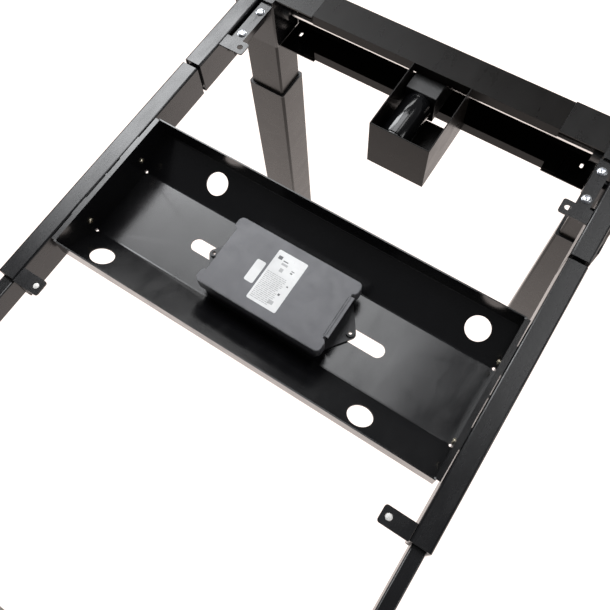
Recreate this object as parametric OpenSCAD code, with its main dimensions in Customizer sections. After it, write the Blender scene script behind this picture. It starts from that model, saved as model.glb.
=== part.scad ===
// Four-leg electric lifting frame for a table top, with the control unit in a
// folded sheet tray between two telescopic side rails.  Millimetres, +Z up.
// The origin is on the floor, under the middle of the frame.

/* [Frame] */
// Height of the rails' top face above the floor
frame_h = 780; // [770:5:800]
// Distance between the middles of the two side rails
rail_pitch = 660; // [656:1:664]
// Width of a side rail's tube
rail_w = 30; // [29:1:32]
// Height of a side rail's tube
rail_h = 60; // [58:1:64]
// Length of the middle piece of a side rail
centre_rail_l = 432; // [425:1:440]
// Gap between middle piece and rear end rail
rear_gap = 6.5; // [6:0.5:10]
// Gap between middle piece and front end rail
front_gap = 377; // [330:1:383]
// Length of an end rail, from its open end to the leg head
end_rail_l = 166.5; // [160:0.5:170]

/* [Tray] */
// Width of the tray's flat floor
tray_floor_w = 122; // [116:2:128]
// Width of the tray at its top
tray_top_w = 244; // [240:2:248]
// Depth inside the tray
tray_depth = 64; // [60:1:66]
// Distance between the insides of the end walls
tray_inner_l = 612; // [610:1:614]
// Sheet thickness of the tray
sheet = 2; // [1.5:0.5:2]
// Height of the upright part of each long side
tray_upright = 32; // [28:1:36]
// Diameter of the four cable holes
cable_hole_d = 36.5; // [30:0.5:38]
// Width of the two floor slots
slot_w = 22; // [16:1:24]

/* [Control box] */
// Length of the cover over its corner lobes
box_l = 208; // [200:2:212]
// Width of the cover
box_w = 118; // [110:2:120]
// Height of the box
box_h = 44; // [42:1:46]
// Offset of the box from the tray's middle
box_shift = -6; // [-8:1:0]
// Wall thickness of the two shells
box_wall = 2.5; // [2:0.5:3]
// Distance between the two ear holes
ear_pitch = 238; // [236:1:242]

/* [Legs] */
// Outer width of the lower leg tube
leg_w = 82; // [80:1:84]
// Outer depth of the lower leg tube
leg_d = 72; // [70:1:74]
// Length of the lower leg tube
leg_l = 537; // [520:1:540]
// Wall thickness of the leg tubes
leg_wall = 2; // [2:0.5:2.5]
// Height of the head on top of each leg
head_h = 100; // [96:1:104]
// Diameter of the lead screw
screw_d = 16; // [14:1:18]

/* [Cross beam] */
// Depth of the cross beam's channel
beam_d = 57; // [55:1:58]
// Height of the lip along each flange of the channel
beam_lip = 18; // [12:1:20]
// Length of the middle channel over its lips
beam_l = 434; // [430:2:438]
// Sheet thickness of the channels
beam_t = 2.5; // [2:0.5:3]
// Width of the motor's housing
motor_box_w = 102; // [98:1:106]
// Length of the motor's housing
motor_box_l = 130; // [126:1:131]
// Offset of the motor from the middle of the beam
motor_x = 4; // [2:1:6]
// Offset of the motor's housing from the middle of the beam
motor_box_x = 22; // [20:1:24]
// Diameter of the motor
motor_d = 50; // [46:1:52]

/* [Hidden] */
$fn = 48;
eps = 0.1;            // overlap that joins two solids into one
run = 0.4;            // clearance of a sliding fit

REAR = 1;             // which end of the frame
FRONT = -1;
LEFT = -1;            // which side of the frame
RIGHT = 1;

black = [0.11, 0.11, 0.12];
black_plastic = [0.16, 0.16, 0.17];
grey_plastic = [0.30, 0.30, 0.32];
taupe = [0.45, 0.42, 0.39];
zinc = [0.80, 0.81, 0.82];
steel = [0.62, 0.63, 0.65];
brass = [0.78, 0.62, 0.30];
board_green = [0.06, 0.30, 0.16];
white = [0.93, 0.93, 0.92];

// Side rails
rail_x = rail_pitch / 2;
rail_t = 2;                                   // wall of the rail's tube
rail_r = 3.5;                                 // outer corner radius
slide_w = rail_w - 10;                        // tube that telescopes inside the rail
slide_h = rail_h - 20;
slide_inset = (rail_h - slide_h) / 2;         // from the rail's top face to the inner tube's
end_y = (centre_rail_l + rear_gap + front_gap) / 2;      // open end of both end rails
centre_back_y = end_y - rear_gap;
centre_front_y = centre_back_y - centre_rail_l;
rear_reach = 187;                             // slide tube beyond the end rail, gap included
front_reach = 445;
guide_l = 12;
tab_w = 24;                                   // fixing tab for the table top
tab_reach = 43.5;
tab_hole_d = 9.5;
tab_t = 2.5;

// Tray, at its place along the rails
tray_y = centre_back_y - 232;
tray_half = tray_inner_l / 2;
wall_run = (tray_top_w - tray_floor_w) / 2;
slope_drop = tray_depth - tray_upright;       // height of the sloping part of each long side
slope = atan2(slope_drop, wall_run);
flange_x = rail_x - rail_w / 2;               // inner face of the rail
slot_in = 86;
slot_out = 168;
screw_y = [-62, 62];                          // screws through each end wall
screw_drop = 33;

// Control box
box_z = frame_h - tray_depth + 0.3;           // underside, just clear of the tray's floor
base_h = 22;
lobe_l = 6;                                   // how far a corner lobe stands out
lobe_w = 22;
box_end_l = box_l - 2 * lobe_l;
ear_t = 4;
ear_x = ear_pitch / 2;
board_z = box_z + 8;

// Legs and heads
leg_y = end_y + end_rail_l + leg_d / 2;
foot_h = 8;
upper_w = leg_w - 2 * leg_wall - 6;           // upper tube slides inside the lower one
upper_d = leg_d - 2 * leg_wall - 6;
upper_bottom = 143;
head_t = 2.5;
shaft_z = frame_h - 43;
mitre_in = 8;                                 // small and large end of a mitre gear
mitre_out = 22;
mitre_gap = 0.5;
post_d = 30;
nut_z = frame_h - 262;

// Cross beam
beam_front_y = leg_y - 24;
beam_back_y = beam_front_y + beam_d;
motor_front_y = beam_front_y - motor_box_l - 4;
motor_box_h = 95;
motor_y0 = motor_front_y + 6;
motor_l = 96;

// ---------- shared shapes ----------

// Rectangle with round corners, centred
module round_rect(w, h, r) {
    square([w - 2 * r, h], center = true);
    square([w, h - 2 * r], center = true);
    for (sx = [-1, 1], sy = [-1, 1])
        translate([sx * (w / 2 - r), sy * (h / 2 - r)]) circle(r);
}

// Upright bar or tube with round corners
module upright(w, d, r, z0, z1) {
    translate([0, 0, z0]) linear_extrude(z1 - z0) round_rect(w, d, r);
}

// Tube along Y whose top face is at z_top
module rail_tube(x, y0, y1, w, h, t, r, z_top) {
    translate([x, y1, z_top - h / 2]) rotate([90, 0, 0]) difference() {
        linear_extrude(y1 - y0) round_rect(w, h, r);
        translate([0, 0, -eps]) linear_extrude(y1 - y0 + 2 * eps)
            round_rect(w - 2 * t, h - 2 * t, r - t / 2);
    }
}

// Ring of rectangular section around a tube, along Y
module rail_ring(x, y0, y1, w, h, hole_w, hole_h, z_top) {
    translate([x, y1, z_top - h / 2]) rotate([90, 0, 0]) difference() {
        linear_extrude(y1 - y0) round_rect(w, h, 3);
        translate([0, 0, -eps]) linear_extrude(y1 - y0 + 2 * eps) round_rect(hole_w, hole_h, 2.2);
    }
}

// Profile in Y and Z, given as points, extruded along X
module along_x(x0, x1) {
    translate([x0, 0, 0]) rotate([90, 0, 90]) linear_extrude(x1 - x0) children();
}

// Fixing tab that points inwards from the rail's inner face at x = 0
module fixing_tab() {
    r = 4;
    translate([0, 0, -tab_t]) difference() {
        linear_extrude(tab_t) union() {
            translate([-tab_reach + r, -tab_w / 2]) square([tab_reach - r, tab_w]);
            translate([-tab_reach, -tab_w / 2 + r]) square([r + 1, tab_w - 2 * r]);
            for (s = [-1, 1]) translate([-tab_reach + r, s * (tab_w / 2 - r)]) circle(r);
        }
        translate([-tab_reach + 10.5, 0, -eps]) cylinder(h = tab_t + 2 * eps, d = tab_hole_d);
    }
}

// Pan-head screw, head up, underside of its head at z = 0
module pan_screw(head_d, head_h, shank_d, shank_l, slot) {
    difference() {
        union() {
            cylinder(h = head_h * 0.5, d = head_d);
            translate([0, 0, head_h * 0.5]) cylinder(h = head_h * 0.5, d1 = head_d, d2 = head_d * 0.62);
            translate([0, 0, -shank_l]) cylinder(h = shank_l + eps, d = shank_d);
        }
        for (a = [0, 90]) rotate([0, 0, a])
            translate([-slot * 1.6, -slot / 2, head_h * 0.4]) cube([slot * 3.2, slot, head_h]);
    }
}

module both_sides() {
    children();
    mirror([1, 0, 0]) children();
}

// The front end is the rear end turned half a turn
module at_end(end) {
    rotate([0, 0, end == REAR ? 0 : 180]) children();
}

// ---------- middle of the frame ----------

module centre_rail(side) {
    color(black) difference() {
        rail_tube(side * rail_x, centre_front_y, centre_back_y, rail_w, rail_h, rail_t, rail_r,
                  frame_h);
        for (y = screw_y) translate([side * flange_x, tray_y + y, frame_h - screw_drop])
            rotate([0, 90, 0]) cylinder(h = 8, d = 5.2, center = true);
    }
}

module rail_guides() {
    color(black_plastic) both_sides()
        for (y0 = [centre_front_y + 0.5, centre_back_y - guide_l - 0.5])
            rail_ring(rail_x, y0, y0 + guide_l, rail_w - 2 * rail_t, rail_h - 2 * rail_t,
                      slide_w + 2 * run, slide_h + 2 * run, frame_h - rail_t);
}

module rail_tabs() {
    color(black) both_sides()
        translate([flange_x, centre_front_y + 10, frame_h]) fixing_tab();
}

// One half of the folded section: flat floor, sloping side, upright side
function tray_half_section(s) = let (
    t = sheet,
    top_y = tray_top_w / 2, floor_y = tray_floor_w / 2,
    out_y = floor_y + t * sin(slope), out_z = -tray_depth - t * cos(slope),
    low_y = out_y - (t - t * cos(slope)) / tan(slope),
    fold_z = out_z + (top_y + t - out_y) * tan(slope)
) [
    [s * floor_y, -tray_depth], [s * top_y, -tray_upright], [s * top_y, 0],
    [s * (top_y + t), 0], [s * (top_y + t), fold_z], [s * low_y, -tray_depth - t]
];

module tray_section() {
    right = tray_half_section(1);
    left = tray_half_section(-1);
    polygon(concat(right, [for (i = [5:-1:0]) left[i]]));
}

module tray_end_wall() {
    wall_x = tray_half;
    along_x(wall_x, wall_x + sheet) polygon([
        [-tray_floor_w / 2 - 1, -tray_depth - sheet], [tray_floor_w / 2 + 1, -tray_depth - sheet],
        [tray_top_w / 2 + 1, -tray_upright - 1], [tray_top_w / 2 + 1, 0],
        [-tray_top_w / 2 - 1, 0], [-tray_top_w / 2 - 1, -tray_upright - 1]
    ]);
    // flange on top, with three tongues that are welded to the rail
    translate([wall_x, -tray_top_w / 2, -sheet]) cube([flange_x - 1.5 - wall_x, tray_top_w, sheet]);
    for (tongue = [[-60, 32], [2.5, 4], [58, 45]])
        translate([wall_x + 1, tongue[0] - tongue[1] / 2, -sheet])
            cube([flange_x - wall_x - 1, tongue[1], sheet]);
}

// Hole square to a sloping wall, s = 1 at the back, x along the tray
module cable_hole(x, s) {
    down = 46;
    y = tray_floor_w / 2 + (tray_depth - down) / tan(slope);
    translate([x, s * y, -down]) rotate([s * slope, 0, 0])
        cylinder(h = 12, d = cable_hole_d, center = true);
}

module floor_slot(s) {
    r = slot_w / 2;
    mid = s * (slot_in + slot_out) / 2;
    translate([mid, 0, -tray_depth - sheet - 1]) {
        translate([-(slot_out - slot_in) / 2 + r, -r, 0])
            cube([slot_out - slot_in - slot_w, slot_w, sheet + 2]);
        for (e = [-1, 1]) translate([e * ((slot_out - slot_in) / 2 - r), 0, 0])
            cylinder(h = sheet + 2, r = r);
    }
}

module equipment_tray() {
    color(black) translate([0, tray_y, frame_h]) difference() {
        union() {
            along_x(-tray_half - sheet, tray_half + sheet) tray_section();
            both_sides() tray_end_wall();
        }
        for (s = [-1, 1]) {
            floor_slot(s);
            cable_hole(s * 260, s);
            cable_hole(s * 186.5, -s);
        }
        // relief notches where three folds meet
        for (sx = [-1, 1], sy = [-1, 1])
            translate([sx * (tray_half - 0.5), sy * (tray_floor_w / 2 + 1), -tray_depth - 4])
                cylinder(h = 8, r = 2.2);
        for (sx = [-1, 1], y = screw_y)
            translate([sx * (tray_half + 1), y, -screw_drop]) rotate([0, 90, 0])
                cylinder(h = 8, d = 5.6, center = true);
    }
}

// Screws that hold the tray's ends to the rails, with a spacer behind each
module tray_screws() {
    color(steel) both_sides() for (y = screw_y)
        translate([tray_half, tray_y + y, frame_h - screw_drop]) rotate([0, -90, 0]) {
            pan_screw(9, 3, 5, flange_x + rail_t + 0.8 - tray_half, 1.2);
            translate([0, 0, tray_half - flange_x]) difference() {
                cylinder(h = flange_x - tray_half - sheet, d = 11);
                translate([0, 0, -eps]) cylinder(h = 10, d = 5);
            }
        }
}

// ---------- control box ----------

module at_box() {
    translate([box_shift, tray_y, box_z]) children();
}

module cover_outline(inset) {
    union() {
        round_rect(box_end_l - 2 * inset, box_w - 2 * inset, 4);
        for (sx = [-1, 1], sy = [-1, 1])
            translate([sx * (box_l / 2 - 14), sy * (box_w / 2 - lobe_w / 2)])
                round_rect(28 - 2 * inset, lobe_w - 2 * inset, 8 - inset);
    }
}

module base_outline(inset) {
    round_rect(box_end_l - 4 - 2 * inset, box_w - 4 - 2 * inset, 6 - inset);
}

module ear(s) {
    base_x = box_end_l / 2 - 6;
    mirror([s < 0 ? 1 : 0, 0, 0]) {
        linear_extrude(ear_t) polygon([
            [base_x, -42], [base_x + 8, -40], [ear_x + 6.6, -4.6],
            [ear_x + 6.6, 4.6], [base_x + 8, 40], [base_x, 42]
        ]);
        translate([ear_x, 0, 0]) cylinder(h = ear_t, r = 8);
        translate([ear_x, 0, 0]) cylinder(h = ear_t + 4, r = 6);
    }
}

// The four screw posts, which stand in the corners
module at_posts() {
    for (sx = [-1, 1], sy = [-1, 1])
        translate([sx * (box_end_l / 2 - 12), sy * (box_w / 2 - 13), 0]) children();
}

module box_base() {
    color(black_plastic) at_box() difference() {
        union() {
            difference() {
                linear_extrude(base_h) base_outline(0);
                translate([0, 0, box_wall]) linear_extrude(base_h) base_outline(box_wall);
            }
            for (s = [-1, 1]) ear(s);
            at_posts() cylinder(h = base_h - 0.5, r = 4.5);
        }
        at_posts() {
            translate([0, 0, -eps]) cylinder(h = 6, r = 3.3);
            cylinder(h = base_h, r = 1.7);
        }
        for (s = [-1, 1]) translate([s * ear_x, 0, -eps]) cylinder(h = 12, d = 5.5);
        // mouths for the sockets and the mains inlet
        translate([box_end_l / 2 - 8, -32, 12]) cube([12, 64, base_h]);
        translate([-box_end_l / 2 - 4, -14, 12]) cube([12, 28, base_h]);
    }
}

module box_cover() {
    h = box_h - base_h;
    color(grey_plastic) at_box() translate([0, 0, base_h]) difference() {
        union() {
            linear_extrude(h - 1) cover_outline(0);
            translate([0, 0, h - 1.2]) linear_extrude(1.2) cover_outline(0.8);
            // lip over the socket end
            translate([box_end_l / 2 - 2, -34, h - 3]) cube([lobe_l + 2, 68, 3]);
        }
        difference() {
            translate([0, 0, -eps]) linear_extrude(h - box_wall + eps) cover_outline(box_wall);
            at_posts() cylinder(h = h, r = 4);
        }
        at_posts() translate([0, 0, -eps]) cylinder(h = h - 6, r = 1.55);
        translate([box_end_l / 2 - 8, -32, -eps]) cube([12, 64, 15]);
        translate([-box_end_l / 2 - 4, -14, -eps]) cube([12, 28, 11]);
    }
}

module cover_screws() {
    color(zinc) at_box() at_posts() {
        translate([0, 0, 5.9]) mirror([0, 0, 1]) cylinder(h = 2.4, d = 6);
        translate([0, 0, 5]) cylinder(h = 30, d = 3);
    }
}

module circuit_board() {
    color(board_green) at_box() translate([-80, -44, board_z - box_z])
        difference() {
            cube([160, 88, 1.6]);
            for (x = [5, 155], y = [5, 83]) translate([x, y, -1]) cylinder(h = 4, d = 3.4);
        }
}

module transformer() {
    color(steel) at_box() translate([-62, -32, board_z - box_z + 1.6]) {
        cube([34, 42, 5]);
        translate([4, 4, 5]) cube([26, 34, 16]);
        translate([-1.5, 10, 9]) cube([37, 22, 10]);
    }
}

module board_parts() {
    color(black_plastic) at_box() translate([0, 0, board_z - box_z + 1.6]) {
        for (i = [0:2]) translate([-8 + 24 * i, 24, 0]) cylinder(h = 24, d = 17);
        for (i = [0:3]) translate([8 + 17 * i, -40, 0]) cube([13, 20, 15]);
        translate([-20, -10, 0]) cube([16, 16, 2.2]);
    }
}

module heat_sink() {
    color(steel) at_box() translate([10, -12, board_z - box_z + 1.6]) {
        cube([52, 22, 3]);
        for (i = [0:6]) translate([0, i * 3.4, 0]) cube([52, 1.4, 20]);
    }
}

socket_y = [-24, -8, 8, 24];

module box_sockets() {
    color([0.08, 0.08, 0.09]) at_box() translate([box_end_l / 2 - 7.5, 0, 12.6])
        difference() {
            translate([-6, -31, 0]) cube([11, 62, 22]);
            for (y = socket_y) translate([-3, y - 5.5, 8]) cube([12, 11, 9]);
        }
}

module mains_inlet() {
    color([0.08, 0.08, 0.09]) at_box() translate([-box_end_l / 2, 0, 12.6])
        difference() {
            translate([2.5, -13.5, 0]) cube([16, 27, 19]);
            translate([-1, -11, 3]) cube([14, 22, 13]);
        }
}

module box_labels() {
    color(white) at_box() translate([0, 0, box_h]) {
        translate([-25 - 0.5, -43, 0]) cube([48.5, 86, 0.2]);
        translate([-36.5, -4, 0]) rotate([0, 0, -4]) translate([-6.5, -18, 0]) cube([12.5, 36, 0.2]);
    }
}

// ---------- rear or front end ----------

module end_rails(end) {
    color(black) at_end(end) both_sides()
        rail_tube(rail_x, end_y, end_y + end_rail_l, rail_w, rail_h, rail_t, rail_r, frame_h);
}

module slide_tubes(end) {
    reach = end == REAR ? rear_reach : front_reach;
    color(black) at_end(end) both_sides() {
        rail_tube(rail_x, end_y - reach, end_y + 100, slide_w, slide_h, 2, 2.5,
                  frame_h - slide_inset);
        for (y0 = [end_y + 2, end_y + 80])
            rail_ring(rail_x, y0, y0 + 10, rail_w - 2 * rail_t, rail_h - 2 * rail_t,
                      slide_w, slide_h, frame_h - rail_t);
    }
}

bracket_in = 42;                              // reach of the bracket's plate from the rail's middle
bracket_y0 = 76.5;                            // from the open end of the end rail
bracket_screw_y = [92, 145];
bracket_screw_x = 31.5;
bracket_drop = 4;                             // keeps the screw heads under the table top

module rail_brackets(end) {
    plate_y = end_y + bracket_y0;
    plate_l = end_rail_l - bracket_y0 - 1;
    color(black) at_end(end) both_sides() {
        translate([flange_x, end_y + 64, frame_h]) fixing_tab();
        difference() {
            union() {
                translate([rail_x - bracket_in, plate_y, frame_h - bracket_drop - tab_t])
                    cube([21, plate_l, tab_t]);
                translate([rail_x - bracket_in + 21 - tab_t, plate_y, frame_h - 42])
                    cube([tab_t, plate_l, 42 - bracket_drop]);
                for (y = bracket_screw_y) translate([rail_x - 21.5, end_y + y, frame_h - 28])
                    rotate([0, 90, 0]) cylinder(h = 6.5, r = 7);
            }
            for (y = bracket_screw_y)
                translate([rail_x - bracket_screw_x, end_y + y, frame_h - bracket_drop - 5])
                    cylinder(h = 8, d = 6.4);
        }
    }
}

module zinc_screws(end) {
    color(zinc) at_end(end) both_sides() for (y = bracket_screw_y)
        translate([rail_x - bracket_screw_x, end_y + y, frame_h - bracket_drop]) {
            pan_screw(14.5, 3.8, 6, 12, 1.9);
            translate([0, 0, -tab_t - 5]) difference() {
                cylinder(h = 5, d = 11, $fn = 6);
                translate([0, 0, -1]) cylinder(h = 7, d = 6);
            }
        }
}

lip_x = beam_l / 2;                           // the lips and the top flange end here
channel_x = lip_x + 23;                       // the web and the lower flange end here
beam_z = frame_h - 100;                       // underside of the channel

// Channel that is open towards the middle of the frame, with a lip on each flange
module beam_channel(end) {
    t = beam_t;
    y0 = beam_front_y;
    y1 = beam_back_y;
    color(black) at_end(end) {
        along_x(-lip_x, lip_x) polygon([
            [y0, frame_h], [y1, frame_h], [y1, beam_z], [y0, beam_z], [y0, beam_z + beam_lip],
            [y0 + t, beam_z + beam_lip], [y0 + t, beam_z + t], [y1 - t, beam_z + t],
            [y1 - t, frame_h - t], [y0 + t, frame_h - t], [y0 + t, frame_h - beam_lip],
            [y0, frame_h - beam_lip]
        ]);
        both_sides() along_x(lip_x - eps, channel_x) polygon([
            [y1, frame_h - t - run], [y1, beam_z], [y0, beam_z], [y0, beam_z + t],
            [y1 - t, beam_z + t], [y1 - t, frame_h - t - run]
        ]);
    }
}

// Sheet end that wraps round the channel and meets the leg's head
module beam_ends(end) {
    x1 = rail_x - leg_w / 2;
    t = beam_t;
    y0 = beam_front_y - 3;
    color(black) at_end(end) both_sides() difference() {
        along_x(lip_x, x1) polygon([
            [y0, frame_h], [beam_back_y + t, frame_h], [beam_back_y + t, beam_z - t],
            [y0, beam_z - t], [y0, beam_z], [beam_back_y, beam_z],
            [beam_back_y, frame_h - t], [y0, frame_h - t]
        ]);
        // bolt slot in the lower flange
        translate([270, beam_front_y + 38, beam_z - t - 1]) {
            translate([-2.5, -2.5, 0]) cube([5, 5, t + 2]);
            for (y = [-2.5, 2.5]) translate([0, y, 0]) cylinder(h = t + 2, r = 2.5);
        }
    }
}

module motor_box(end) {
    w = motor_box_w;
    x0 = motor_box_x - w / 2;
    t = 2;
    wall_l = beam_front_y - motor_front_y;
    color(taupe) at_end(end) translate([x0, motor_front_y, frame_h - motor_box_h]) {
        cube([w, t, motor_box_h]);
        cube([t, wall_l, motor_box_h]);
        translate([w - t, 0, 0]) cube([t, wall_l, motor_box_h]);
        cube([w, wall_l - 17, t]);
    }
}

module motor_can(end) {
    color(black) at_end(end)
        translate([motor_x, motor_y0 + motor_l, shaft_z]) rotate([90, 0, 0]) difference() {
            union() {
                cylinder(h = motor_l, d = motor_d - 4);
                translate([0, 0, 8]) cylinder(h = motor_l - 20, d = motor_d);
                translate([0, 0, motor_l - eps]) cylinder(h = 4, d = 24);
            }
            translate([0, 0, -eps]) cylinder(h = motor_l - 6, d = motor_d - 12);
        }
}

gear_y = leg_y;
gearbox_y0 = motor_y0 + motor_l;

module gearbox(end) {
    y0 = gearbox_y0;
    y1 = beam_back_y - beam_t;
    color(black_plastic) at_end(end) difference() {
        translate([motor_x - 27, y0, shaft_z - 30]) cube([54, y1 - y0, 54.5]);
        translate([motor_x - 23.5, gear_y - 27, shaft_z - 22.5]) cube([47, 51, 45]);
        translate([motor_x - 40, gear_y, shaft_z]) rotate([0, 90, 0]) cylinder(h = 90, r = 7);
        translate([motor_x, y0 - 1, shaft_z]) rotate([-90, 0, 0]) cylinder(h = 30, r = 10);
    }
}

// Mitre gear: a cone whose point is at the origin, along +Z
module mitre() {
    translate([0, 0, mitre_in + mitre_gap])
        cylinder(h = mitre_out - mitre_in, r1 = mitre_in - 0.5, r2 = mitre_out - 0.5);
}

module rotor(end) {
    color(steel) at_end(end) translate([motor_x, gear_y, shaft_z]) rotate([90, 0, 0]) {
        mitre();
        shaft_end = gear_y - motor_y0 - 8;
        translate([0, 0, mitre_out]) cylinder(h = shaft_end - mitre_out, d = 12);
        translate([0, 0, gear_y - gearbox_y0 + 8]) cylinder(h = motor_l - 30, d = motor_d - 18);
    }
}

module drive_shaft(end) {
    reach = rail_x - mitre_out - 0.5;
    color(zinc) at_end(end) translate([0, gear_y, shaft_z]) {
        translate([-reach, 0, 0]) rotate([0, 90, 0]) cylinder(h = 2 * reach, d = 8.1, $fn = 6);
        translate([motor_x, 0, 0]) rotate([0, 90, 0]) mitre();
        for (s = [-1, 1]) translate([s * rail_x, 0, 0]) rotate([0, -s * 90, 0]) mitre();
    }
}

module leg_heads(end) {
    color(black) at_end(end) both_sides() translate([rail_x, leg_y, 0]) {
        difference() {
            upright(leg_w, leg_d, 4, frame_h - head_h, frame_h);
            upright(leg_w - 2 * head_t, leg_d - 2 * head_t, 3, frame_h - head_h - 1,
                    frame_h - head_t);
            translate([-leg_w, 0, shaft_z]) rotate([0, 90, 0]) cylinder(h = leg_w, r = 9);
        }
        // bearing boss for the drive shaft
        translate([-leg_w / 2 - 14, 0, shaft_z]) rotate([0, 90, 0]) difference() {
            cylinder(h = 14 + head_t, r = 14);
            translate([0, 0, -1]) cylinder(h = 20, r = 7);
        }
        // plate that carries the upper tube and the lead screw's bearing
        difference() {
            upright(leg_w - 2 * head_t, leg_d - 2 * head_t, 3, frame_h - head_h + 4,
                    frame_h - head_h + 12);
            translate([0, 0, frame_h - head_h]) cylinder(h = 20, r = screw_d / 2 + 0.5);
        }
    }
}

module upper_tubes(end) {
    color(black) at_end(end) both_sides() translate([rail_x, leg_y, 0]) difference() {
        upright(upper_w, upper_d, 4, upper_bottom, frame_h - head_h + 4);
        upright(upper_w - 2 * leg_wall, upper_d - 2 * leg_wall, 3, upper_bottom - 1,
                frame_h - head_h + 5);
    }
}

// ---------- what moves in each leg ----------

module at_leg(end, side) {
    translate([side * rail_x, end * leg_y, 0]) children();
}

module lead_screw(end, side) {
    color(steel) at_leg(end, side) {
        translate([0, 0, 220]) cylinder(h = shaft_z - mitre_out - 220, d = screw_d);
        translate([0, 0, frame_h - head_h + 12 + run]) cylinder(h = 6, d = 28);
        translate([0, 0, shaft_z]) mirror([0, 0, 1]) mitre();
    }
}

module leg_tube(end, side) {
    color(taupe) at_leg(end, side) difference() {
        upright(leg_w, leg_d, 5, foot_h, foot_h + leg_l);
        upright(leg_w - 2 * leg_wall, leg_d - 2 * leg_wall, 4, foot_h + 4, foot_h + leg_l + 1);
    }
}

module leg_nut(end, side) {
    color(brass) at_leg(end, side) {
        difference() {
            translate([0, 0, foot_h + 4]) cylinder(h = nut_z - foot_h - 4, d = post_d);
            translate([0, 0, foot_h + 3]) cylinder(h = nut_z, d = post_d - 5);
        }
        difference() {
            translate([0, 0, nut_z]) cylinder(h = 26, d = 40);
            translate([0, 0, nut_z - 1]) cylinder(h = 28, d = screw_d + 0.12);
        }
    }
}

module glides(end, side) {
    collar_z = foot_h + leg_l;
    color(black_plastic) at_leg(end, side) {
        // collar that lines the mouth of the lower tube
        difference() {
            union() {
                upright(leg_w, leg_d, 5, collar_z, collar_z + 3);
                upright(leg_w - 2 * leg_wall, leg_d - 2 * leg_wall, 4, collar_z - 40, collar_z + eps);
            }
            upright(upper_w + 2 * run, upper_d + 2 * run, 4, collar_z - 41, collar_z + 4);
        }
        // foot
        upright(leg_w - 6, leg_d - 6, 6, 0, foot_h);
    }
}

centre_rail(LEFT);  // centre_rail_left
centre_rail(RIGHT);  // centre_rail_right
rail_guides();
rail_tabs();
equipment_tray();
tray_screws();
box_base();
box_cover();
cover_screws();
circuit_board();
transformer();
board_parts();
heat_sink();
box_sockets();
mains_inlet();
box_labels();
end_rails(REAR);  // rear_end_rails
slide_tubes(REAR);  // rear_slide_tubes
rail_brackets(REAR);  // rear_rail_brackets
zinc_screws(REAR);  // rear_zinc_screws
beam_channel(REAR);  // rear_beam_channel
beam_ends(REAR);  // rear_beam_ends
motor_box(REAR);  // rear_motor_box
motor_can(REAR);  // rear_motor_can
gearbox(REAR);  // rear_gearbox
leg_heads(REAR);  // rear_leg_heads
upper_tubes(REAR);  // rear_upper_tubes
rotor(REAR);  // rear_rotor
drive_shaft(REAR);  // rear_drive_shaft
end_rails(FRONT);  // front_end_rails
slide_tubes(FRONT);  // front_slide_tubes
rail_brackets(FRONT);  // front_rail_brackets
zinc_screws(FRONT);  // front_zinc_screws
beam_channel(FRONT);  // front_beam_channel
beam_ends(FRONT);  // front_beam_ends
motor_box(FRONT);  // front_motor_box
motor_can(FRONT);  // front_motor_can
gearbox(FRONT);  // front_gearbox
leg_heads(FRONT);  // front_leg_heads
upper_tubes(FRONT);  // front_upper_tubes
rotor(FRONT);  // front_rotor
drive_shaft(FRONT);  // front_drive_shaft
lead_screw(REAR, LEFT);  // screw_rear_left
lead_screw(REAR, RIGHT);  // screw_rear_right
lead_screw(FRONT, LEFT);  // screw_front_left
lead_screw(FRONT, RIGHT);  // screw_front_right
leg_tube(REAR, LEFT);  // leg_tube_rear_left
leg_tube(REAR, RIGHT);  // leg_tube_rear_right
leg_tube(FRONT, LEFT);  // leg_tube_front_left
leg_tube(FRONT, RIGHT);  // leg_tube_front_right
leg_nut(REAR, LEFT);  // leg_nut_rear_left
leg_nut(REAR, RIGHT);  // leg_nut_rear_right
leg_nut(FRONT, LEFT);  // leg_nut_front_left
leg_nut(FRONT, RIGHT);  // leg_nut_front_right
glides(REAR, LEFT);  // glides_rear_left
glides(REAR, RIGHT);  // glides_rear_right
glides(FRONT, LEFT);  // glides_front_left
glides(FRONT, RIGHT);  // glides_front_right
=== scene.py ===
"""Looks of the electric lifting frame: materials, finishing pieces, studio, camera."""

import math
import random

import bmesh
import bpy
from mathutils import Matrix, Vector

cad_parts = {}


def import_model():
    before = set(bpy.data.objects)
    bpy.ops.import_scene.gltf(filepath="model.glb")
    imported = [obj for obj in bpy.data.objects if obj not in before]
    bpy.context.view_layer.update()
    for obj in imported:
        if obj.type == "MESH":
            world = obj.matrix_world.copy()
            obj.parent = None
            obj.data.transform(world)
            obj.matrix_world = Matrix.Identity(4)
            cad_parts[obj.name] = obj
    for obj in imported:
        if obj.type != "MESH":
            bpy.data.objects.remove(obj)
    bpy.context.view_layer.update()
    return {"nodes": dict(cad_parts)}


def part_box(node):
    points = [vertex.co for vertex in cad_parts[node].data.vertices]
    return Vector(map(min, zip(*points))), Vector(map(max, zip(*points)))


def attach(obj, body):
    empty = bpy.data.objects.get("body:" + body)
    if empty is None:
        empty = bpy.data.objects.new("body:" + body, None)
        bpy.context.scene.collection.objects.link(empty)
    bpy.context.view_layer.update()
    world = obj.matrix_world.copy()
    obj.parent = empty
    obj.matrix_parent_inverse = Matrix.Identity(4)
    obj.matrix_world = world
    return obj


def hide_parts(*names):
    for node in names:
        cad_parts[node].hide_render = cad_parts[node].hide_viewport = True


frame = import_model()

SCENE = bpy.context.scene
NODES = frame["nodes"]
MM = 0.001
WELD = 0.00001                  # vertices nearer than this are one
ENDS = ("rear", "front")


# ---------- small tools ----------

def link(obj):
    SCENE.collection.objects.link(obj)
    return obj


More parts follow.
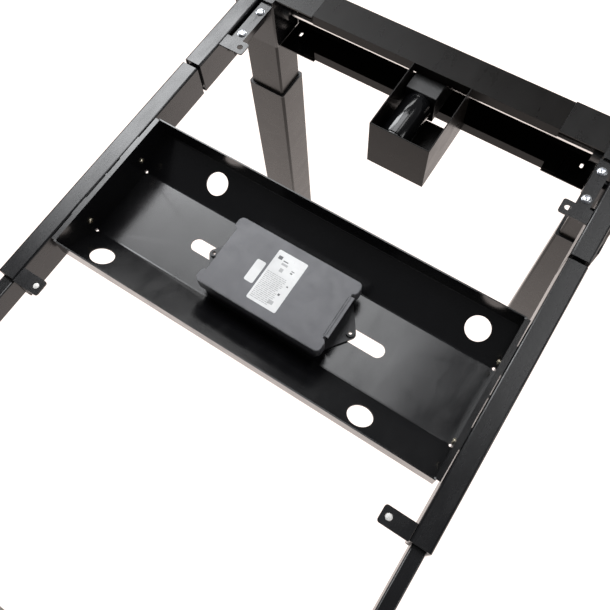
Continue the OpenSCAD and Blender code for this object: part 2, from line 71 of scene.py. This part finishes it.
def mesh_object(name, bm, material, sharp=35):
    """A new object from a bmesh: smooth shaded, with sharp edges over an angle."""
    mesh = bpy.data.meshes.new(name)
    bmesh.ops.recalc_face_normals(bm, faces=bm.faces)
    bm.to_mesh(mesh)
    bm.free()
    mesh.materials.append(material)
    mesh.shade_smooth()
    mesh.set_sharp_from_angle(angle=math.radians(sharp))
    return link(bpy.data.objects.new(name, mesh))


def piece(name, bm, material, body, replaces=(), sharp=35):
    """A mesh that belongs to the object: it rides on a CAD body."""
    obj = mesh_object(name, bm, material, sharp)
    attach(obj, body)
    if replaces:
        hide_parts(*replaces)
    return obj


def middle(node):
    """Middle of a CAD node's box."""
    low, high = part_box(node)
    return (low + high) / 2


def islands(node):
    """Boxes (low, high) of the separate solids of a CAD node, always in the same order."""
    bm = bmesh.new()
    bm.from_mesh(NODES[node].data)
    bmesh.ops.remove_doubles(bm, verts=bm.verts, dist=WELD)
    left, found = dict.fromkeys(bm.verts), []
    while left:
        stack = [left.popitem()[0]]
        group = list(stack)
        while stack:
            for edge in stack.pop().link_edges:
                for vert in edge.verts:
                    if vert in left:
                        del left[vert]
                        stack.append(vert)
                        group.append(vert)
        low = Vector([min(v.co[i] for v in group) for i in range(3)])
        high = Vector([max(v.co[i] for v in group) for i in range(3)])
        found.append((low, high))
    bm.free()
    return sorted(found, key=lambda box: tuple(round(c, 4) for c in box[0]))


def add_block(bm, low, high, round_by=0.0):
    """A box between two corners, with its edges rounded."""
    low, high = Vector(low), Vector(high)
    made = bmesh.ops.create_cube(bm, size=1)["verts"]
    for vert in made:
        vert.co = (low + high) / 2 + Vector([c * d for c, d in zip(vert.co, high - low)])
    if round_by:
        edges = list(dict.fromkeys(edge for vert in made for edge in vert.link_edges))
        bmesh.ops.bevel(bm, geom=edges, offset=round_by, segments=2, affect="EDGES")


def add_rounded_sheet(bm, low, high, corner, steps=6):
    """A flat sheet between two corners, with rounded corners in plan."""
    outline = []
    for cx, cy, start in ((high.x - corner, high.y - corner, 0), (low.x + corner, high.y - corner, 1),
                          (low.x + corner, low.y + corner, 2), (high.x - corner, low.y + corner, 3)):
        for i in range(steps + 1):
            angle = math.radians(90 * (start + i / steps))
            outline.append((cx + corner * math.cos(angle), cy + corner * math.sin(angle)))
    top = [bm.verts.new((x, y, high.z)) for x, y in outline]
    under = [bm.verts.new((x, y, low.z)) for x, y in outline]
    bm.faces.new(top)
    bm.faces.new(under[::-1])
    for i in range(len(outline)):
        j = (i + 1) % len(outline)
        bm.faces.new((top[i], under[i], under[j], top[j]))


def add_lathe(bm, profile, matrix, steps=40):
    """Turns a profile of (radius, height) about local Z."""
    rings = []
    for radius, height in profile:
        if radius < 1e-7:
            rings.append([bm.verts.new(matrix @ Vector((0, 0, height)))])
            continue
        rings.append([bm.verts.new(matrix @ Vector((radius * math.cos(a), radius * math.sin(a), height)))
                      for a in (2 * math.pi * i / steps for i in range(steps))])
    for low, high in zip(rings, rings[1:]):
        for i in range(steps):
            j = (i + 1) % steps
            face = [low[i % len(low)], low[j % len(low)], high[j % len(high)], high[i % len(high)]]
            unique = list(dict.fromkeys(face))
            if len(unique) > 2:
                bm.faces.new(unique)


def add_pan_head(bm, matrix, radius, height, slot, grid=32):
    """Domed screw head with a cross recess, underside at local z = 0."""
    rows = []
    for i in range(grid + 1):
        row = []
        for j in range(grid + 1):
            u, v = 2 * i / grid - 1, 2 * j / grid - 1
            x = u * math.sqrt(1 - v * v / 2)
            y = v * math.sqrt(1 - u * u / 2)
            r = math.hypot(x, y)
            z = height * (0.34 + 0.66 * math.sqrt(max(0.0, 1 - r ** 3.2)))
            arm = 0.62
            wide = slot / radius
            cross = (abs(x) < arm and abs(y) < wide) or (abs(y) < arm and abs(x) < wide)
            if cross:
                z -= height * 0.75 * (1 - 0.45 * r / arm)
            row.append(bm.verts.new(matrix @ Vector((x * radius, y * radius, z))))
        rows.append(row)
    for i in range(grid):
        for j in range(grid):
            bm.faces.new((rows[i][j], rows[i + 1][j], rows[i + 1][j + 1], rows[i][j + 1]))
    rim = ([rows[i][0] for i in range(grid)] + [rows[grid][j] for j in range(grid)]
           + [rows[i][grid] for i in range(grid, 0, -1)] + [rows[0][j] for j in range(grid, 0, -1)])
    to_local = matrix.inverted()
    low = []
    for vert in rim:
        local = to_local @ vert.co
        low.append(bm.verts.new(matrix @ Vector((local.x, local.y, 0))))
    count = len(rim)
    for i in range(count):
        bm.faces.new((rim[i], rim[(i + 1) % count], low[(i + 1) % count], low[i]))
    bm.faces.new(low)


# ---------- materials ----------

class Shader:
    """A material with a Principled shader, and short ways to add nodes to it."""

    def __init__(self, name, roughness=0.5, metallic=0.0, specular=0.5, coat=0.0):
        self.material = bpy.data.materials.new(name)
        self.material.use_nodes = True
        self.tree = self.material.node_tree
        self.tree.nodes.clear()
        self.bsdf = self.add("ShaderNodeBsdfPrincipled")
        self.bsdf.inputs["Roughness"].default_value = roughness
        self.bsdf.inputs["Metallic"].default_value = metallic
        self.bsdf.inputs["Specular IOR Level"].default_value = specular
        self.bsdf.inputs["Coat Weight"].default_value = coat
        output = self.add("ShaderNodeOutputMaterial")
        self.wire(self.bsdf, "BSDF", output, "Surface")
        self.position = self.add("ShaderNodeTexCoord")

    def add(self, kind, **settings):
        node = self.tree.nodes.new(kind)
        for key, value in settings.items():
            setattr(node, key, value)
        return node

    def wire(self, source, output, target, socket):
        self.tree.links.new(source.outputs[output], target.inputs[socket])

    def noise(self, scale, detail=3.0, rough=0.55, stretch=(1, 1, 1)):
        """Noise in object space, scale in cycles a metre."""
        mapping = self.add("ShaderNodeMapping")
        mapping.inputs["Scale"].default_value = stretch
        self.wire(self.position, "Object", mapping, "Vector")
        noise = self.add("ShaderNodeTexNoise")
        noise.inputs["Scale"].default_value = scale
        noise.inputs["Detail"].default_value = detail
        noise.inputs["Roughness"].default_value = rough
        self.wire(mapping, "Vector", noise, "Vector")
        return noise

    def ramp(self, source, output, stops):
        """Colour ramp; stops are (place, grey or colour)."""
        ramp = self.add("ShaderNodeValToRGB")
        elements = ramp.color_ramp.elements
        while len(elements) < len(stops):
            elements.new(0.5)
        for element, (place, value) in zip(elements, stops):
            colour = (value,) * 3 if isinstance(value, (int, float)) else value
            element.position = place
            element.color = (*colour, 1)
        self.wire(source, output, ramp, "Fac")
        return ramp

    def colour_from(self, node, output="Color"):
        self.wire(node, output, self.bsdf, "Base Color")

    def roughness_from(self, node, output="Color"):
        self.wire(node, output, self.bsdf, "Roughness")

    def bump(self, sources, strength=0.3):
        """Chains one bump node for each (node, output, height in metres)."""
        last = None
        for node, output, height in sources:
            bump = self.add("ShaderNodeBump")
            bump.inputs["Strength"].default_value = strength
            bump.inputs["Distance"].default_value = height
            self.wire(node, output, bump, "Height")
            if last:
                self.wire(last, "Normal", bump, "Normal")
            last = bump
        self.wire(last, "Normal", self.bsdf, "Normal")


def scaled(colour, factor):
    return tuple(min(1.0, c * factor) for c in colour)


def powder_coat(name, colour, rough=0.3, grain=0.00003, specular=0.5):
    """Baked powder: fine orange peel, faint cloudiness, a few rubbed and dusty places."""
    s = Shader(name, rough, specular=specular)
    cloud = s.noise(9, 4, 0.6)
    s.colour_from(s.ramp(cloud, "Fac", [(0.3, scaled(colour, 0.85)), (0.55, colour),
                                        (0.8, scaled(colour, 1.25))]))
    smear = s.noise(38, 5, 0.62, (1, 0.35, 1))
    s.roughness_from(s.ramp(smear, "Fac", [(0.25, rough - 0.05), (0.5, rough), (0.8, rough + 0.09)]))
    peel = s.noise(420, 2, 0.5)
    fine = s.noise(1600, 2, 0.6)
    s.bump([(peel, "Fac", grain * 2.2), (fine, "Fac", grain)], 0.35)
    return s.material


def moulded_plastic(name, colour, rough=0.5, grain=0.00005, specular=0.5):
    """Spark-eroded mould texture with slight polish where it is handled."""
    s = Shader(name, rough, specular=specular)
    cloud = s.noise(22, 4, 0.55)
    s.colour_from(s.ramp(cloud, "Fac", [(0.3, scaled(colour, 0.88)), (0.7, scaled(colour, 1.12))]))
    polish = s.noise(60, 4, 0.6)
    s.roughness_from(s.ramp(polish, "Fac", [(0.3, rough - 0.08), (0.75, rough + 0.06)]))
    texture = s.noise(1400, 3, 0.7)
    s.bump([(texture, "Fac", grain)], 0.5)
    return s.material


def metal(name, colour, rough=0.25, stretch=(1, 1, 1), tint=0.2):
    """Bare or plated metal with drawing marks along one direction."""
    s = Shader(name, rough, metallic=1.0)
    marks = s.noise(260, 5, 0.65, stretch)
    s.colour_from(s.ramp(marks, "Fac", [(0.3, scaled(colour, 1 - tint)), (0.7, colour)]))
    s.roughness_from(s.ramp(marks, "Fac", [(0.3, rough + 0.12), (0.7, rough)]))
    pits = s.noise(900, 3, 0.6, stretch)
    s.bump([(pits, "Fac", 0.00004)], 0.3)
    return s.material


def board_laminate(name):
    """Green solder mask over faint copper tracks."""
    s = Shader(name, 0.3, coat=0.3)
    tracks = s.add("ShaderNodeTexVoronoi", distance="CHEBYCHEV", feature="DISTANCE_TO_EDGE")
    tracks.inputs["Scale"].default_value = 160
    s.wire(s.position, "Object", tracks, "Vector")
    s.colour_from(s.ramp(tracks, "Distance", [(0.02, (0.03, 0.2, 0.08)), (0.06, (0.01, 0.09, 0.04))]))
    s.bump([(tracks, "Distance", 0.00003)], 0.3)
    return s.material


COAT = powder_coat("black powder coat", (0.0070, 0.0070, 0.0078), 0.26, specular=0.48)
TRAY_COAT = powder_coat("tray powder coat", (0.0042, 0.0042, 0.0048), 0.20)
CHANNEL_COAT = powder_coat("channel powder coat", (0.0060, 0.0054, 0.0050), 0.28, specular=0.3)
HOUSING_COAT = powder_coat("housing powder coat", (0.0065, 0.0056, 0.0050), 0.3, specular=0.14)
LEG_COAT = powder_coat("leg powder coat", (0.010, 0.009, 0.008), 0.28, specular=0.36)
ENAMEL = powder_coat("motor enamel", (0.004, 0.004, 0.0045), 0.13, 0.00001)
CASTING = powder_coat("gearbox casting", (0.012, 0.012, 0.012), 0.45, 0.00022)
GLIDE = moulded_plastic("glide plastic", (0.014, 0.014, 0.015), 0.5)
SHELL = moulded_plastic("base shell plastic", (0.020, 0.020, 0.023), 0.45)
COVER = moulded_plastic("cover plastic", (0.085, 0.085, 0.094), 0.42)
SOCKET = moulded_plastic("socket plastic", (0.006, 0.006, 0.006), 0.35)
PART_PLASTIC = moulded_plastic("component plastic", (0.02, 0.02, 0.024), 0.4)
NYLON = moulded_plastic("white nylon", (0.80, 0.79, 0.76), 0.4)
FILM = moulded_plastic("label film", (0.72, 0.72, 0.715), 0.35, 0.00001)
PRINT = moulded_plastic("label print", (0.10, 0.10, 0.105), 0.5, 0.00001)
FAINT_PRINT = moulded_plastic("faint label print", (0.42, 0.42, 0.42), 0.5, 0.00001)
ZINC = metal("bright zinc", (0.80, 0.82, 0.86), 0.16)
YELLOW_ZINC = metal("yellow zinc", (0.70, 0.64, 0.50), 0.2)
STEEL = metal("bright steel", (0.78, 0.77, 0.76), 0.2, (0.06, 1, 1))
CORE = metal("core steel", (0.34, 0.34, 0.36), 0.4, (1, 1, 20))
BRASS = metal("nut brass", (0.72, 0.52, 0.24), 0.3)
ALUMINIUM = metal("sink aluminium", (0.75, 0.76, 0.78), 0.3, (0.05, 1, 1))
BOARD = board_laminate("board laminate")

EXACT = {"equipment_tray": TRAY_COAT, "tray_screws": YELLOW_ZINC, "rail_guides": GLIDE,
         "box_base": SHELL, "box_cover": COVER, "cover_screws": ZINC, "circuit_board": BOARD,
         "transformer": CORE, "board_parts": PART_PLASTIC, "heat_sink": ALUMINIUM,
         "box_sockets": SOCKET, "mains_inlet": SOCKET, "box_labels": FILM}
KINDS = (("zinc_screws", ZINC), ("beam_channel", HOUSING_COAT), ("beam_ends", CHANNEL_COAT),
         ("motor_box", HOUSING_COAT), ("motor_can", ENAMEL), ("gearbox", CASTING),
         ("rotor", STEEL), ("drive_shaft", STEEL), ("screw_", STEEL),
         ("leg_tube", LEG_COAT), ("leg_nut", BRASS), ("glides", GLIDE), ("upper_tubes", LEG_COAT))
EDGES = {"equipment_tray": 0.0009, "box_cover": 0.0012, "box_base": 0.0008}


def material_of(node):
    """The finish of each CAD node."""
    if node in EXACT:
        return EXACT[node]
    return next((material for part, material in KINDS if part in node), COAT)


def dress(node, obj):
    """Gives a CAD node its finish, and rounds its sharp edges a little."""
    obj.data.materials.clear()
    obj.data.materials.append(material_of(node))
    weld = obj.modifiers.new("weld", "WELD")
    weld.merge_threshold = WELD
    bevel = obj.modifiers.new("soft edges", "BEVEL")
    bevel.width = EDGES.get(node, 0.0018 if "gearbox" in node else 0.0005)
    bevel.segments = 2
    bevel.limit_method = "ANGLE"
    bevel.angle_limit = math.radians(25)
    bevel.harden_normals = True
    bevel.use_clamp_overlap = True


for node_name, node_object in NODES.items():
    dress(node_name, node_object)


# ---------- finishing pieces ----------

HEAD_T = 0.0038                 # head and washer of a bracket screw
WASHER_T = 0.0008
SHANK_R = 0.0030
NUT_R = 0.0055
NUT_LOW, NUT_HIGH = 0.0045, 0.0095    # nut's faces above the screw's tip


def bracket_screws(end):
    """Pan-head screws with washers and nuts, in place of the plain ones in the rail brackets."""
    bm = bmesh.new()
    turn = 0.3
    for low, high in islands(f"{end}_zinc_screws"):
        radius = (high.x - low.x) / 2
        centre = (low + high) / 2
        seat = high.z - HEAD_T
        tip = low.z - seat
        turn += 0.9
        flat = Matrix.Translation((centre.x, centre.y, seat))
        head = Matrix.Translation((centre.x, centre.y, seat + WASHER_T)) @ Matrix.Rotation(turn, 4, "Z")
        add_pan_head(bm, head, radius - 0.0006, HEAD_T - WASHER_T, 0.0009)
        add_lathe(bm, [(SHANK_R + 0.0003, WASHER_T), (radius - 0.0002, WASHER_T),
                       (radius, WASHER_T - 0.0002), (radius, 0.0001), (SHANK_R + 0.0003, 0.0)], flat)
        add_lathe(bm, [(0, tip), (SHANK_R - 0.0003, tip), (SHANK_R, tip + 0.0005), (SHANK_R, 0.0)],
                  flat, 24)
        add_lathe(bm, [(SHANK_R, tip + NUT_LOW), (NUT_R - 0.0002, tip + NUT_LOW),
                       (NUT_R, tip + NUT_LOW + 0.0005), (NUT_R, tip + NUT_HIGH - 0.0003),
                       (SHANK_R, tip + NUT_HIGH)], flat, 6)
    piece(f"{end}_bracket_screws", bm, ZINC, f"{end}_end",
          [f"{end}_zinc_screws"], sharp=30)


# Marks on the large label in mm: distance from its left, from its top, width, height
DARK_MARKS = ((5, 8, 6.5, 5.5), (14.5, 12, 8, 1.6), (33, 20, 5, 1.4), (33, 23, 3.6, 2.2),
              (40, 43, 2.6, 2.0), (36, 58, 3.2, 3.4))
FAINT_MARKS = ((14.5, 16, 10, 3.4), (17, 24, 5.5, 6), (30, 72, 8, 6))


def label_sheets():
    """The two labels on the cover: film, and on the large one bars that spell nothing."""
    draw = random.Random(7)
    parts = sorted(islands("box_labels"), key=lambda b: -(b[1].y - b[0].y))
    low, high = parts[0]
    top = high.z
    sheets, dark, faint = bmesh.new(), bmesh.new(), bmesh.new()
    for sheet_low, sheet_high in parts:
        add_rounded_sheet(sheets, sheet_low, sheet_high, 0.0025)

    def bar(bm, x, y, wide, tall):
        x0, y0 = low.x + x * MM, high.y - y * MM
        add_block(bm, (x0, y0 - tall * MM, top - 0.00002), (x0 + wide * MM, y0, top + 0.00004))

    for mark in DARK_MARKS:
        bar(dark, *mark)
    for mark in FAINT_MARKS:
        bar(faint, *mark)
    for row in range(17):
        x = 3.0
        y = 36 + row * 2.75
        while x < 34 - row * 0.35:
            wide = draw.uniform(2.0, 7.5)
            bar(faint, x, y, min(wide, 36 - x), 1.15)
            x += wide + 1.0
    piece("label_sheets", sheets, FILM, "control_box", ["box_labels"])
    piece("label_bars", dark, PRINT, "control_box")
    piece("label_rows", faint, FAINT_PRINT, "control_box")


def cover_lip():
    """Two raised ribs along the socket end of the cover."""
    low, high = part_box("box_cover")
    middle_y, half = (low.y + high.y) / 2, 0.0335
    bm = bmesh.new()
    for inset in (0.0048, 0.0078):
        outer = high.x - inset
        add_block(bm, (outer - 0.0010, middle_y - half, high.z - 0.0012),
                  (outer, middle_y + half, high.z + 0.0010), 0.0003)
    piece("cover_lip", bm, COVER, "control_box")


def socket_pins():
    """Six brass pins in each of the four motor sockets."""
    bm = bmesh.new()
    low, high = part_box("box_sockets")
    middle_y, pitch = (low.y + high.y) / 2, 0.016
    pin = Vector((0.002, 0.0004, 0.0004))
    for socket in range(4):
        y = middle_y + pitch * (socket - 1.5)
        for column in (-1, 0, 1):
            for height in (0.0105, 0.0140):
                spot = Vector((high.x - 0.006, y + column * 0.003, low.z + height))
                add_block(bm, spot - pin, spot + Vector((2 * pin.x, pin.y, pin.z)), 0.0001)
    piece("socket_pins", bm, BRASS, "control_box")


def folded_tray():
    """The tray as bent from sheet: the CAD shape with a radius in every long fold."""
    bm = bmesh.new()
    bm.from_mesh(NODES["equipment_tray"].data)
    bmesh.ops.remove_doubles(bm, verts=bm.verts, dist=WELD)
    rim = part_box("equipment_tray")[1].z - 0.001

    def is_fold(edge):
        if len(edge.link_faces) != 2 or edge.calc_length() < 0.02:
            return False
        if min(vert.co.z for vert in edge.verts) > rim:
            return False
        one, two = edge.link_faces
        if one.normal.angle(two.normal, 0) < math.radians(20):
            return False
        return min(face.calc_area() for face in (one, two)) / edge.calc_length() > 0.002

    folds = [edge for edge in bm.edges if is_fold(edge)]
    bmesh.ops.bevel(bm, geom=folds, offset=0.0014, segments=3, affect="EDGES", clamp_overlap=True)
    obj = piece("folded_tray", bm, TRAY_COAT, "centre_frame", ["equipment_tray"], 30)
    soft = obj.modifiers.new("soft edges", "BEVEL")
    soft.width, soft.segments = 0.0004, 2
    soft.limit_method, soft.angle_limit = "ANGLE", math.radians(50)
    even = obj.modifiers.new("even normals", "WEIGHTED_NORMAL")
    even.mode, even.weight, even.keep_sharp = "FACE_AREA", 100, True


def tab_plugs():
    """White nylon plugs in the table-top holes of the two middle tabs."""
    bm = bmesh.new()
    for low, high in islands("rail_tabs"):
        inner = high.x if high.x < 0 else low.x
        sign = 1 if inner < 0 else -1
        place = Matrix.Translation((inner - sign * 0.0105, (low.y + high.y) / 2, high.z - 0.0015))
        add_lathe(bm, [(0, -0.0006), (0.0040, -0.0006), (0.0046, -0.0002), (0.0046, 0.0006),
                       (0.0038, 0.0012), (0, 0.0014)], place, 32)
    piece("tab_plugs", bm, NYLON, "centre_frame")


for end_name in ENDS:
    bracket_screws(end_name)
label_sheets()
cover_lip()
socket_pins()
folded_tray()
tab_plugs()


# ---------- studio ----------

TRAY = middle("equipment_tray")
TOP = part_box("equipment_tray")[1].z


def floor():
    """Large pale sheet just under the glides."""
    bm = bmesh.new()
    bmesh.ops.create_grid(bm, x_segments=1, y_segments=1, size=14)
    s = Shader("studio floor", 0.9, specular=0.05)
    cloud = s.noise(0.8, 2, 0.5)
    s.colour_from(s.ramp(cloud, "Fac", [(0.3, (0.15, 0.14, 0.13)), (0.7, (0.17, 0.16, 0.15))]))
    s.bsdf.inputs["Emission Color"].default_value = (1.0, 0.89, 0.84, 1)
    s.bsdf.inputs["Emission Strength"].default_value = 1.24
    obj = mesh_object("studio_floor", bm, s.material)
    obj.location.z = -0.002


def softbox(name, place, target, size, radiance, colour):
    """Area light of a given brightness, seen in reflections as a bright panel."""
    data = bpy.data.lights.new(name, "AREA")
    data.shape = "RECTANGLE"
    data.size, data.size_y = size
    data.energy = radiance * math.pi * size[0] * size[1]
    data.color = colour
    obj = link(bpy.data.objects.new(name, data))
    obj.location = place
    obj.rotation_euler = (Vector(target) - Vector(place)).to_track_quat("-Z", "Y").to_euler()


def world():
    """Plain studio walls: pale low down, dark above."""
    sky = bpy.data.worlds.new("studio")
    SCENE.world = sky
    sky.use_nodes = True
    tree = sky.node_tree
    background = tree.nodes["Background"]
    direction = tree.nodes.new("ShaderNodeTexCoord")
    split = tree.nodes.new("ShaderNodeSeparateXYZ")
    ramp = tree.nodes.new("ShaderNodeValToRGB")
    tree.links.new(direction.outputs["Generated"], split.inputs[0])
    tree.links.new(split.outputs["Z"], ramp.inputs["Fac"])
    tree.links.new(ramp.outputs["Color"], background.inputs["Color"])
    ramp.color_ramp.interpolation = "EASE"
    low, high = ramp.color_ramp.elements
    low.position, low.color = 0.12, (0.92, 0.92, 0.92, 1)
    high.position, high.color = 0.42, (0.13, 0.132, 0.137, 1)


def camera():
    """Looks down on the tray from the front right, at the photograph's angle."""
    data = bpy.data.cameras.new("camera")
    data.lens = 39.1
    data.sensor_width = 36
    obj = link(bpy.data.objects.new("camera", data))
    right = Vector((0.8368, 0.5455, -0.0463))
    up = Vector((-0.4909, 0.7851, 0.3776))
    back = Vector((0.2424, -0.2932, 0.9248))
    turn = Matrix((right, up, back)).transposed()
    place = Vector((0.266, TRAY.y - 0.277, TOP + 0.822))
    obj.matrix_world = Matrix.Translation(place) @ turn.to_4x4()
    SCENE.camera = obj


floor()
world()

COOL = (0.97, 0.98, 1.0)
# name, place and target from the middle of the tray's top edge, size, radiance, colour
LIGHTS = (("key", (-2.0, 1.55, 2.6), (-2.0, 1.5, 0), (2.5, 2.2), 4.4, COOL),
          ("key core", (-2.45, 1.75, 2.58), (-2.4, 1.65, 0), (1.4, 1.7), 8.0, (0.96, 0.98, 1.0)),
          ("key side", (-0.38, 1.3, 2.6), (-0.38, 1.25, 0), (0.85, 1.8), 5.5, COOL),
          ("strip", (0.75, 1.9, 2.5), (0.75, 1.8, 0), (0.35, 2.2), 4.0, (1, 1, 1)),
          ("back", (-2.1, 3.9, 2.4), (0, 0, 0), (1.8, 0.7), 5.0, (1, 1, 1)),
          ("side panel", (3.2, 0.6, 1.9), (0, 0.1, 0), (1.0, 1.0), 4.0, (1, 1, 1)))
for name, place, target, size, radiance, colour in LIGHTS:
    origin = Vector((0, TRAY.y, TOP))
    softbox(name, origin + Vector(place), origin + Vector(target), size, radiance, colour)
camera()
SCENE.view_settings.view_transform = "Standard"
